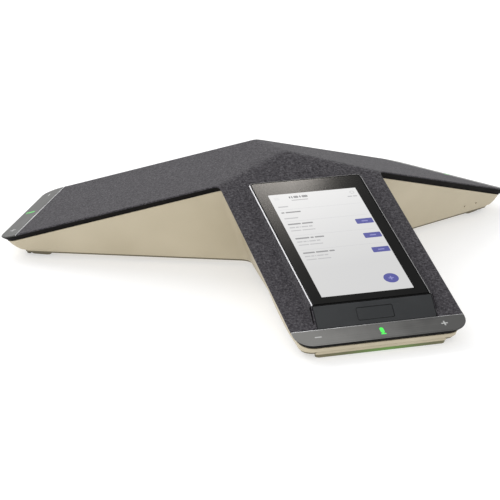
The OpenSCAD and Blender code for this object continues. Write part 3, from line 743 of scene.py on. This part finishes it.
def lower_housing():
    """Champagne shell: leaning sides from the seam to a rounded bottom edge, with an inner wall."""
    lip = [housing_loop(0, WALL), housing_loop(0, 0.9), housing_loop(0, 0, -0.3),
           housing_loop(0.008, 0, -0.5), housing_loop(0.02, 0, -0.35)]
    sides = [housing_loop(t) for t in np.linspace(0.05, 0.88, 12)]
    rounds = []
    for shrink, drop in quarter_round(1.5, 4):
        ring = housing_loop(0.97, 0, shrink)
        ring[:, 2] = FLOOR_Z + drop
        rounds.append(ring)
    inner = [housing_loop(t, WALL) for t in np.linspace(0.98, 0.05, 10)]
    verts, faces = merge([loft(lip + sides + rounds, cap_last=True), loft(inner, cap_first=True)])
    n = len(lip[0])
    faces += bridge(len(verts) - n, 0, n)
    obj = make_piece("lower_housing", verts, faces, PAINT, "phone", "housing", smooth=40)
    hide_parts("bottom_housing")
    return obj


def painted_shade_ring():
    """Dark olive ring just below the housing's bottom edge, a closed ring: painted shade for the shadowed
    underside of the bottom edge.
    """
    rings = []
    for inset, z in ((0.5, FLOOR_Z + 0.8), (0.9, FLOOR_Z), (1.5, FLOOR_Z - 1.0), (4.5, FLOOR_Z - 1.0),
                     (4.5, FLOOR_Z + 0.8)):
        ring = housing_loop(0.97, 0, inset)
        ring[:, 2] = z
        rings.append(ring)
    verts, faces = loft(rings, ring=True)
    # the foot's olive colour is used here as painted shade
    return make_piece("painted_shade_ring", verts, faces, FOOT, "phone", "housing", smooth=30)


def cut(obj, cutter_verts, cutter_faces):
    """Cuts a closed shape out of a piece."""
    cutter = add_object("cutter", new_mesh("cutter", cutter_verts, cutter_faces))
    modify(obj, "BOOLEAN", object=cutter, operation="DIFFERENCE", solver="EXACT")
    bpy.data.objects.remove(cutter)


def block(lo, hi):
    """Corners and faces of a box."""
    x, y, z = zip(lo, hi)
    verts = [(x[i], y[j], z[k]) for k in (0, 1) for j in (0, 1) for i in (0, 1)]
    return verts, [(0, 2, 3, 1), (4, 5, 7, 6), (0, 1, 5, 4), (1, 3, 7, 5), (3, 2, 6, 7), (2, 0, 4, 6)]


def tube(a, b, r, steps=20):
    """A closed cylinder from a to b."""
    a, b = Vector(a), Vector(b)
    turn = (b - a).to_track_quat("Z", "Y")
    angles = np.linspace(0, 2 * math.pi, steps + 1)[:-1]
    ring = [turn @ Vector((r * math.cos(t), r * math.sin(t), 0)) for t in angles]
    return solid([[tuple(a + p) for p in ring], [tuple(b + p) for p in ring]])


def housing_details(housing, edge):
    """Cuts the cable bay and the microphone ports."""
    lo, hi = box_mm("port_bay")
    gap, outside, below = 0.1, 40, -1
    port_step, port_r, port_from, port_to = 6, 0.75, 1.5, 14
    for piece in (housing, edge):
        cut(piece, *block((lo[0] - gap, lo[1] - gap, below), (hi[0] + gap, hi[1] + outside, hi[2] + gap)))
    for arm in ARMS:
        boot = sum(box_mm("mic_boot_" + arm)) / 2
        along, across = arm_vectors(arm)
        for step in (-port_step, port_step):
            centre = np.array([*(boot[:2] + along * step), boot[2]])
            outward = np.array([*(-across), 0])
            cut(housing, *tube(centre + outward * port_from, centre + outward * port_to, port_r))


# ---------------------------------------------------------------- tips

def strip_plate(arm):
    """Touch strip with the tip's rounded corners and softened edges."""
    reach, steps = REACH[arm], 12
    pts = [(reach - STRIP_LEN, -HALF_W)]
    for k in range(steps + 1):
        a = math.radians(-90 + 90 * k / steps)
        pts.append((reach - TIP_R + TIP_R * math.cos(a), -HALF_W + TIP_R + TIP_R * math.sin(a)))
    pts = np.array(pts)
    pts = np.concatenate([pts, pts[::-1] * [1, -1]])
    sunk = 0.04                # the lit marks stand this much proud
    soft = 0.4

    def place(outline, drop):
        xy = to_plan(arm, outline[:, 0], outline[:, 1])
        return np.column_stack([xy, APEX - SLOPE * outline[:, 0] - drop])

    loops = [place(corner_inset(pts, 0.5), STRIP_T), place(corner_inset(pts, 0.12), STRIP_T - 0.2)]
    for shrink, drop in quarter_round(soft):
        loops.append(place(corner_inset(pts, 0.05 + shrink), sunk + drop))
    verts, faces = solid(loops)
    obj = make_piece("strip_" + arm, verts, faces, STRIPS[arm], "phone", "strip_grey", smooth=40)
    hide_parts("touch_strip_" + arm)
    inner = REACH[arm] - STRIP_LEN
    ends = np.array([-HALF_W + 0.6, HALF_W - 0.6])
    trim = [(inner - 0.6, 1.0), (inner - 0.6, 0.75), (inner + 0.02, 0.05), (inner + 0.2, 0.05),
            (inner + 0.2, 1.0)]
    drops = np.array([drop for _, drop in trim])
    verts, faces = solid([place(np.array([(x, u) for x, _ in trim]), drops) for u in ends])
    make_piece("strip_trim_" + arm, verts, faces, RIM, "phone", "steel")


def corner_inset(outline, distance):
    """Like inset_loop, but true at sharp corners too."""
    before, after = np.roll(outline, 1, 0), np.roll(outline, -1, 0)

    def normal(a, b):
        t = b - a
        t = t / np.maximum(np.linalg.norm(t, axis=1), SMALL)[:, None]
        return np.column_stack([-t[:, 1], t[:, 0]])

    n1, n2 = normal(before, outline), normal(outline, after)
    n = n1 + n2
    n /= np.linalg.norm(n, axis=1)[:, None]
    return outline + distance * n / np.maximum((n * n1).sum(1), 0.4)[:, None]


FOOT_W = 86.0


def pad(arm, far, near, layers):
    """A closed block under an arm from far to near, both measured back from its tip.
    Each layer is a height and how far its outer end, its inner end and its sides are drawn in."""
    loops = []
    for z, outer, inner, sides in layers:
        length = far - near - outer - inner
        outline = rounded_rect(length, FOOT_W - 2 * sides, 2.5, steps=6) + [REACH[arm] - far + inner, 0]
        xy = to_plan(arm, outline[:, 0], outline[:, 1])
        loops.append(np.column_stack([xy, np.full(len(outline), z)]))
    return solid(loops)


def foot_pad(arm):
    """Rubber foot with slanted, rounded ends."""
    verts, faces = pad(arm, 35.5, 19.45, [(FLOOR_Z - 0.05, 0, 0, 0), (FLOOR_Z - 1, 0, 0.1, 0.1),
                                          (0.7, 0, 1.6, 1.2), (0.15, 0.1, 2.1, 1.7), (0, 0.4, 2.5, 2.1)])
    obj = make_piece("foot_pad_" + arm, verts, faces, FOOT, "phone", "rubber", smooth=30)
    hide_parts("foot_" + arm)


def light_guide(arm):
    """Tinted light guide along the outer side of a foot; the front one glows."""
    if arm == "front":
        verts, faces = pad(arm, 12.0, 6.0, [(4.2, 0.4, 0, -1.2), (2.6, 0.2, 0, -1.2), (2.3, 0.5, 0.3, -0.9)])
        make_piece("tip_skirt", verts, faces, PAINT, "phone", "housing", smooth=30)
        verts, faces = pad(arm, 11.6, 6.5, [(2.5, 0.2, 0, -0.6), (0.4, 0.4, 0, -0.2), (0.1, 0.7, 0.3, 0.1)])
    else:
        verts, faces = pad(arm, 19.4, 13.9, [(6.4, 2.6, 0, 1.5), (4.6, 0, 0, 0), (3.6, 0.3, 0, 0.1),
                                             (0.7, 2.0, 0, 1.2), (0.15, 2.6, 0.1, 1.7)])
    material = GUIDE if arm == "front" else FOOT
    obj = make_piece("light_guide_" + arm, verts, faces, material, "phone", "light_bar", smooth=30)
    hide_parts("light_bar_" + arm)


# ---------------------------------------------------------------- screen

FRAME_R, FRAME_END_R = 3.2, 1.0


def screen_outline(inset=0.0):
    return rounded_rect(SCREEN_LEN, SCREEN_W, FRAME_R, inset=inset, far_r=FRAME_END_R)


def screen_frame():
    """Slim tray round the glass, with a polished chamfer on its rim and a dark groove inside it."""
    outline = screen_outline()
    loops = [on_screen(inset_loop(outline, 1.0), -10.4), on_screen(inset_loop(outline, 0.3), -9.8),
             on_screen(outline, -9.0), on_screen(outline, -2.25), on_screen(screen_outline(0.55), -2.2),
             on_screen(screen_outline(0.55), -0.7), on_screen(screen_outline(0.75), -0.35),
             on_screen(screen_outline(0.8), -1.2)]
    verts, faces = solid(loops)
    obj = make_piece("screen_frame", verts, faces, FRAME, "phone", "frame_black", smooth=30)
    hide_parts("display_frame")
    rim = [on_screen(screen_outline(d), w) for d, w in ((0, -2.2), (0, -0.6), (0.45, -0.05), (0.65, -0.05),
                                                        (0.7, -0.4), (0.52, -0.75), (0.52, -2.2))]
    # the rim stops at the chin, so it leaves out the outline's far end
    n = len(outline)
    keep = [i for i in range(n) if outline[i, 0] < SCREEN_LEN - 0.6]
    keep = keep[keep.index(min(keep)):]
    make_piece("screen_rim", *open_band(np.array(rim)[:, keep]), SCREEN_RIM, "phone", "steel", smooth=25)


def screen_glass():
    verts, faces = plate(screen_outline(1.25), on_screen, -1.1, -0.08, 0.3)
    obj = make_piece("screen_glass", verts, faces, GLASS, "phone", "screen_glass", smooth=25)
    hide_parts("cover_glass")


def screen_plate(x0, x1, y0, y1, height, r):
    """A thin lit plate on the glass: x down the lit area from its top, y across it from its middle."""
    outline = rounded_rect(x1 - x0, y1 - y0, r, steps=5) + [x0 + LIT_START, (y0 + y1) / 2]
    loops = [on_screen(outline, -0.2), on_screen(outline, height - 0.05)]
    return solid(loops)


def words(x, y0, widths, height, gap=0.8):
    """A row of grey bars that stand for words."""
    parts, y = [], y0
    for w in widths:
        parts.append(screen_plate(x - height / 2, x + height / 2, y, y + w, 0.06, r=height / 3))
        y += w + gap
    return parts


def screen_picture():
    """A generic list of meetings: pale page, grey bars for words, three pills and a round button."""
    page = lit_screen("page_white", (0.86, 0.86, 0.86), 0.90, 0.79)
    ink = lit_screen("ink_grey", (0.30, 0.30, 0.31), 0.9)
    pale_ink = lit_screen("ink_pale", (0.50, 0.50, 0.51), 0.95)
    violet = lit_screen("pill_violet", (0.095, 0.10, 0.34), 0.95)
    line = lit_screen("line_pale", (0.70, 0.70, 0.71), 0.95, 0.85)
    pale_violet = lit_screen("pill_mark", (0.30, 0.30, 0.62), 0.9)
    v, f = screen_plate(0, LIT_LEN, -LIT_W / 2, LIT_W / 2, 0.02, r=0.15)
    obj = make_piece("picture_page", v, f, page, "phone", "lcd")
    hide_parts("lcd_panel")
    bold = words(4.4, -17.6, (1.0, 0.8, 3.4, 1.0, 4.2), 2.4, 0.7)
    plain, pills, marks = [], [], []
    plain += words(8.0, -16.8, (11.6,), 1.0) + words(9.6, 22.4, (3.2, 3.0), 1.1, 0.6)
    plain += words(14.6, -28.3, (7.0,), 1.2)
    bold += words(21.4, -28.2, (2.2, 10.5), 1.3)
    plain += words(28.2, -28.2, (9.6,), 1.1)
    rows = ((35.0, (9.0, 7.6)), (51.4, (9.6, 2.2, 6.4)), (67.8, (8.0, 8.4, 3.6)))
    for x, widths in rows:
        bold += words(x, -28.0, widths, 1.4)
        plain += words(x + 3.8, -28.0, (3.8, 2.2, 0.8, 4.6, 2.6), 1.2, 0.5)
        plain += words(x + 7.4, -28.0, (7.0, 9.0), 0.9)
        pills.append(screen_plate(x + 1.0, x + 6.6, 18.3, 30.2, 0.06, r=0.6))
        marks.append(screen_plate(x + 3.3, x + 4.4, 22.2, 26.6, 0.09, r=0.4))
    circle_r, circle_x, circle_y = 5.0, 103.0, 20.0
    circle = rounded_rect(2 * circle_r, 2 * circle_r, circle_r, steps=10)
    circle += [LIT_START + circle_x - circle_r, circle_y]
    pills.append(solid([on_screen(circle, -0.2), on_screen(circle, 0.01)]))
    marks += [screen_plate(circle_x - a, circle_x + a, circle_y - b, circle_y + b, 0.09, r=0.2)
              for a, b in ((0.45, 1.8), (1.8, 0.45))]
    lines = [screen_plate(x, x + 0.2, -28.5, 28.5, 0.05, r=0.1) for x in (18.0, 31.6, 48.0, 64.4)]
    icon = rounded_rect(3.2, 3.2, 1.6, steps=8) + [LIT_START + 3.4, 27.0]
    hole = rounded_rect(3.2, 3.2, 1.6, steps=8, inset=0.35) + [LIT_START + 3.4, 27.0]
    ring = [(icon, 0.0), (hole, 0.0), (hole, -0.1), (icon, -0.1)]
    plain.append(loft([on_screen(loop, w) for loop, w in ring], ring=True))
    lines += [screen_plate(3.6 + k, 4.0 + k, -28.0, -24.5, 0.05, r=0.1) for k in (0, 1.1, 2.2)]
    for name, parts, material in (("picture_titles", bold, ink), ("picture_words", plain, pale_ink),
                                  ("picture_pills", pills, violet), ("picture_marks", marks, pale_violet),
                                  ("picture_lines", lines, line)):
        make_piece(name, *merge(parts), material, "phone", "lcd")


# ---------------------------------------------------------------- chin and key

CHIN_S0 = SCREEN_START + SCREEN_LEN * math.cos(SCREEN_TILT) + 0.3
CHIN_Z0 = SCREEN_Z - SCREEN_LEN * math.sin(SCREEN_TILT) - 0.3
CHIN_S1 = FRONT_REACH - STRIP_LEN - 0.3
CHIN_Z1 = APEX - SLOPE * CHIN_S1 + 0.1
CHIN_ANGLE = math.atan2(CHIN_Z0 - CHIN_Z1, CHIN_S1 - CHIN_S0)
CHIN_LEN = math.hypot(CHIN_Z0 - CHIN_Z1, CHIN_S1 - CHIN_S0)


def on_chin(xy, w):
    """Model points from x down the chin's ramp, y across it and w above it."""
    xy = np.asarray(xy, float)
    c, s = math.cos(CHIN_ANGLE), math.sin(CHIN_ANGLE)
    along = CHIN_S0 + xy[:, 0] * c + w * s
    return np.column_stack([xy[:, 1], AXIS_Y - along, CHIN_Z0 - xy[:, 0] * s + w * c])


def chin():
    """Ramp between the screen and the front strip, with the key let into it."""
    groove_mid = 0.8           # from the ramp's side
    width = SCREEN_W + 1 - 2 * groove_mid
    outline = rounded_rect(CHIN_LEN, width, 1.0, steps=5)
    key_hole = rounded_rect(KEY_H + 0.5, KEY_W + 0.5, 1.2, steps=5) + [KEY_ALONG - KEY_H / 2 - 0.25, 0]
    loops = [on_chin(outline, -2.6)]
    for shrink, drop in quarter_round(0.5):
        loops.append(on_chin(inset_loop(outline, shrink), -drop))
    hole = [on_chin(inset_loop(key_hole, -0.25), 0), on_chin(inset_loop(key_hole, -0.07), -0.07),
            on_chin(key_hole, -0.25), on_chin(key_hole, -2.6)]
    verts, faces = merge([loft(loops), loft(hole)])
    n = len(outline)
    hole_top = n * len(loops)
    faces += bridge(hole_top - n, hole_top, n) + bridge(len(verts) - n, 0, n)
    obj = make_piece("chin_ramp", verts, faces, PANEL, "phone", "panel_grey", smooth=25)
    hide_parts("chin_panel")
    for side in (-1, 1):
        groove = rounded_rect(CHIN_LEN + 1, 1.5, 0.2, steps=2) + [-0.5, side * (width / 2 + groove_mid)]
        verts, faces = solid([on_chin(groove, -2.4), on_chin(groove, -1.1)])
        name = "chin_groove_left" if side < 0 else "chin_groove_right"
        make_piece(name, verts, faces, BLACK, "phone", "frame_black")
    key_outline = rounded_rect(KEY_H, KEY_W, 1.0, steps=5) + [KEY_ALONG - KEY_H / 2, 0]
    verts, faces = plate(key_outline, on_chin, -1.6, -0.12, 0.35)
    key = make_piece("key_cap", verts, faces, PANEL, "home_key", "panel_grey", smooth=25)
    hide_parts("home_key")


# ---------------------------------------------------------------- CAD nodes that stay

def dress_cad_nodes():
    """Gives each CAD node that stays its material."""
    plain = {
        "grille_frame": BLACK, "display_bracket": STEEL, "display_cable": RIBBON, "home_switch": BOARD,
        "speaker_basket": BASKET, "speaker_magnet": FERRITE, "speaker_cone": CONE, "voice_coil": COPPER,
        "speaker_surround": RUBBER, "speaker_gasket": FOAM, "speaker_enclosure": BLACK,
        "speaker_screws": ZINC,
        "main_board": BOARD, "shield_can": STEEL, "antennas": BOARD, "board_screws": ZINC, "port_bay": BLACK,
        "lan_jack": STEEL, "usb_a_jack": STEEL, "usb_micro_jack": STEEL, "mic_jacks": JACK,
        "lock_plate": STEEL,
        "case_screws": ZINC, "rating_plate": LABEL}
    for arm in ARMS:
        plain.update({"mute_light_" + arm: GREENS[arm], "volume_lights_" + arm: WHITE,
                      "touch_board_" + arm: BOARD, "mic_capsule_" + arm: STEEL, "mic_boot_" + arm: RUBBER,
                      "strip_cable_" + arm: RIBBON})
    for node, material in plain.items():
        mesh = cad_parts[node].data
        mesh.materials.clear()
        mesh.materials.append(material)


# ---------------------------------------------------------------- studio

def area_light(name, place, aim, size, power, colour=(1, 1, 1)):
    light = bpy.data.lights.new(name, "AREA")
    light.shape = "RECTANGLE"
    light.size, light.size_y = size
    light.energy, light.color = power, colour
    obj = add_object(name, light)
    obj.location = place
    obj.rotation_euler = (Vector(aim) - Vector(place)).to_track_quat("-Z", "Y").to_euler()
    return obj


def studio():
    """Plain pale floor, a white world and soft lights."""
    mesh = bpy.data.meshes.new("floor")
    size = 12.0
    corners = [(-size, -size, 0), (size, -size, 0), (size, size, 0), (-size, size, 0)]
    mesh.from_pydata(corners, [], [(0, 1, 2, 3)])
    floor = add_object("floor", mesh)
    m = Shader("pale_floor", Roughness=0.8, Specular_IOR_Level=0.1, Emission_Color=(1, 1, 1),
               Emission_Strength=0.5)
    m.feed("Base Color", m.ramp(m.noise(size=400, detail=2), [(0.3, 0.56), (0.7, 0.58)]))
    mesh.materials.append(m.material)
    world = bpy.data.worlds.new("studio_air")
    bpy.context.scene.world = world
    world.use_nodes = True
    nodes, links = world.node_tree.nodes, world.node_tree.links
    nodes["Background"].inputs["Color"].default_value = (1, 1, 1, 1)
    # gloss sees a darker room than the floor does
    path = nodes.new("ShaderNodeLightPath")
    level = nodes.new("ShaderNodeMapRange")
    level.inputs["To Min"].default_value = 0.75
    level.inputs["To Max"].default_value = 0.45
    links.new(path.outputs["Is Glossy Ray"], level.inputs["Value"])
    links.new(level.outputs["Result"], nodes["Background"].inputs["Strength"])
    area_light("back", (-0.85, 1.75, 1.5), (0, 0, 0.03), (2.7, 1.4), 42)
    area_light("right", (1.55, 1.25, 0.55), (0, 0, 0.03), (1.0, 0.7), 7)
    area_light("front_fill", (-0.5, -1.4, 1.0), (0, 0, 0.03), (1.2, 0.8), 1.6)
    area_light("side_fill", (-0.15, -0.40, 0.20), (-0.07, 0.0, 0.03), (0.25, 0.25), 0.24)
    # the glass mirrors this small card near its top left corner
    a, e = math.radians(26.7), math.radians(47.45)
    towards = Vector((math.sin(a) * math.cos(e), math.cos(a) * math.cos(e), math.sin(e)))
    place = Vector((-0.032, -0.02, 0.066)) + towards * 2.9
    card = area_light("card", place, (0, 0, 0.03), (0.19, 0.09), 1.7, (1, 0.94, 0.87))
    card.data.shape = "ELLIPSE"


CAMERA_AZIMUTH, CAMERA_ELEVATION, CAMERA_ROLL = -17.5585, 19.151, 0.22
CAMERA_TARGET = Vector((-0.0251, 0.0294, 0.0048))
CAMERA_DISTANCE = 1.518
CAMERA_LENS = 155.7


def camera():
    a, e, r = map(math.radians, (CAMERA_AZIMUTH, CAMERA_ELEVATION, CAMERA_ROLL))
    back = Vector((math.sin(a) * math.cos(e), -math.cos(a) * math.cos(e), math.sin(e)))
    right = (-back).cross(Vector((0, 0, 1))).normalized()
    up = right.cross(-back)
    x = right * math.cos(r) + up * math.sin(r)
    y = up * math.cos(r) - right * math.sin(r)
    data = bpy.data.cameras.new("camera")
    data.lens, data.sensor_width = CAMERA_LENS, 36.0
    data.clip_start, data.clip_end = 0.05, 50
    obj = add_object("camera", data)
    place = CAMERA_TARGET + back * CAMERA_DISTANCE
    obj.matrix_world = Matrix(((x.x, y.x, back.x, place.x), (x.y, y.y, back.y, place.y),
                               (x.z, y.z, back.z, place.z), (0, 0, 0, 1)))
    bpy.context.scene.camera = obj


camera()
studio()
bpy.context.scene.view_settings.view_transform = "Standard"
cloth_skin()
edge_band()
housing_details(lower_housing(), painted_shade_ring())
for arm_name in ARMS:
    strip_plate(arm_name)
    foot_pad(arm_name)
    light_guide(arm_name)
screen_frame()
cloth_collar()
screen_glass()
screen_picture()
chin()
dress_cad_nodes()
